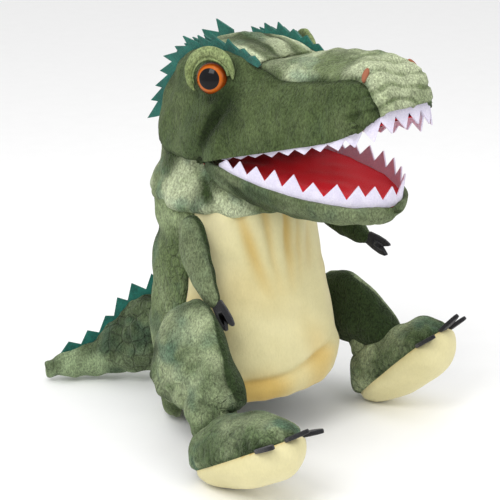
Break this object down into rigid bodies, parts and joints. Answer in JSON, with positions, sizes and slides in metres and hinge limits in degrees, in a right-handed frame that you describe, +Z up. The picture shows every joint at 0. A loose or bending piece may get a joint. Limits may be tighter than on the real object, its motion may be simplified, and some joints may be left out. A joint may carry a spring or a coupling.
{
  "type": "dinosaur hand puppet with a moving mouth",
  "caption": "Plush dinosaur hand puppet with a hinged mouth, a nodding and turning head, a forearm sleeve, stuffed arms, legs and tail, and felt teeth, claws and crests.",
  "frame": {"origin": "middle of the bounding box, on the surface that the puppet sits on", "axes": "+Z up, -Y the way the puppet faces, +X to the puppet's left"},
  "size_m": [0.2156, 0.278, 0.2618],
  "materials": {
    "plush_green": "short pile plush, mid green with darker and lighter brushing",
    "plush_scaled": "short pile plush printed in sage, teal and yellow green, embossed with scales",
    "plush_cream": "soft cream velour",
    "felt_teal": "teal craft felt",
    "felt_white": "white craft felt",
    "felt_black": "black craft felt",
    "mouth_cloth": "red satin-faced lining cloth",
    "plush_lime": "light yellow green short pile plush",
    "lining_cloth": "thin woven lining",
    "mouth_board": "stiff board, uncoated",
    "fibre_fill": "polyester fibre fill",
    "nostril_thread": "brown red embroidery thread",
    "washer_plastic": "moulded locking washer",
    "eye_plastic": "glossy amber iris round a black pupil"
  },
  "bodies": {
    "arm_left": {"arm_left": "plush_green", "hand_claws_left": "felt_black"},
    "arm_right": {"arm_right": "plush_green", "hand_claws_right": "felt_black"},
    "torso": {"back_crest": "felt_teal", "back_panel": "plush_scaled", "belly_panel": "plush_cream", "hem_binding": "plush_green", "sleeve_lining": "lining_cloth"},
    "head": {"brow_crest_left": "felt_teal", "brow_crest_right": "felt_teal", "brow_left": "plush_green", "brow_right": "plush_green", "crown_panel": "plush_scaled", "eye_left": "eye_plastic", "eye_right": "eye_plastic", "eye_washer_left": "washer_plastic", "eye_washer_right": "washer_plastic", "eyelid_left": "plush_lime", "eyelid_right": "plush_lime", "face_left": "plush_green", "face_right": "plush_green", "finger_pocket": "lining_cloth", "head_crest": "felt_teal", "neck_gusset": "plush_scaled", "nostril_left": "nostril_thread", "nostril_right": "nostril_thread", "palate_board": "mouth_board", "palate_lining": "mouth_cloth", "snout_filling": "fibre_fill", "snout_side_left": "plush_green", "snout_side_right": "plush_green", "snout_top": "plush_scaled", "upper_teeth_front": "felt_white", "upper_teeth_left": "felt_white", "upper_teeth_right": "felt_white"},
    "jaw": {"chin_filling": "fibre_fill", "jaw_board": "mouth_board", "jaw_lining": "mouth_cloth", "jaw_skin": "plush_green", "lower_teeth_left": "felt_white", "lower_teeth_right": "felt_white", "thumb_pocket": "lining_cloth"},
    "foot_left": {"foot_left": "plush_green", "sole_left": "plush_cream", "toe_claw_left_1": "felt_black", "toe_claw_left_2": "felt_black", "toe_claw_left_3": "felt_black"},
    "foot_right": {"foot_right": "plush_green", "sole_right": "plush_cream", "toe_claw_right_1": "felt_black", "toe_claw_right_2": "felt_black", "toe_claw_right_3": "felt_black"},
    "neck": {"neck_panel": "plush_scaled"},
    "tail": {"tail": "plush_scaled", "tail_crest": "felt_teal"},
    "leg_left": {"thigh_left": "plush_scaled"},
    "leg_right": {"thigh_right": "plush_scaled"}
  },
  "joints": [
    {"name": "head_turn", "type": "hinge", "parent": "torso", "child": "neck", "pos_m": [0.00458, 0.00401, 0.137], "axis": [0, 0, 1], "range_deg": [-22, 22]},
    {"name": "head_nod", "type": "hinge", "parent": "neck", "child": "head", "pos_m": [0.00458, 0.00501, 0.1569], "axis": [1, 0, 0], "range_deg": [-12, 8], "deforming": ["neck_gusset"]},
    {"name": "jaw_open", "type": "hinge", "parent": "head", "child": "jaw", "pos_m": [0.00458, -0.01198, 0.1817], "axis": [1, 0, 0], "range_deg": [-11, 8]},
    {"name": "arm_right_swing", "type": "hinge", "parent": "torso", "child": "arm_right", "pos_m": [-0.05652, -0.01546, 0.143], "axis": [-1, 0, 0], "range_deg": [-4, 45]},
    {"name": "arm_left_swing", "type": "hinge", "parent": "torso", "child": "arm_left", "pos_m": [0.06568, -0.01546, 0.143], "axis": [-1, 0, 0], "range_deg": [-45, 12]},
    {"name": "leg_right_swing", "type": "hinge", "parent": "torso", "child": "leg_right", "pos_m": [-0.07042, -0.03098, 0.08725], "axis": [-1, 0, 0], "range_deg": [-12, 25]},
    {"name": "leg_left_swing", "type": "hinge", "parent": "torso", "child": "leg_left", "pos_m": [0.07958, -0.03098, 0.076], "axis": [-1, 0, 0], "range_deg": [-12, 25]},
    {"name": "foot_right_flex", "type": "hinge", "parent": "leg_right", "child": "foot_right", "pos_m": [-0.08197, -0.06715, 0.02211], "axis": [-1, 0, 0], "range_deg": [-12, 12]},
    {"name": "foot_left_flex", "type": "hinge", "parent": "leg_left", "child": "foot_left", "pos_m": [0.08228, -0.05538, 0.02198], "axis": [-1, 0, 0], "range_deg": [-12, 12]},
    {"name": "tail_swing", "type": "hinge", "parent": "torso", "child": "tail", "pos_m": [0.00458, 0.07593, 0.037], "axis": [0, 0, 1], "range_deg": [-20, 20]}
  ]
}
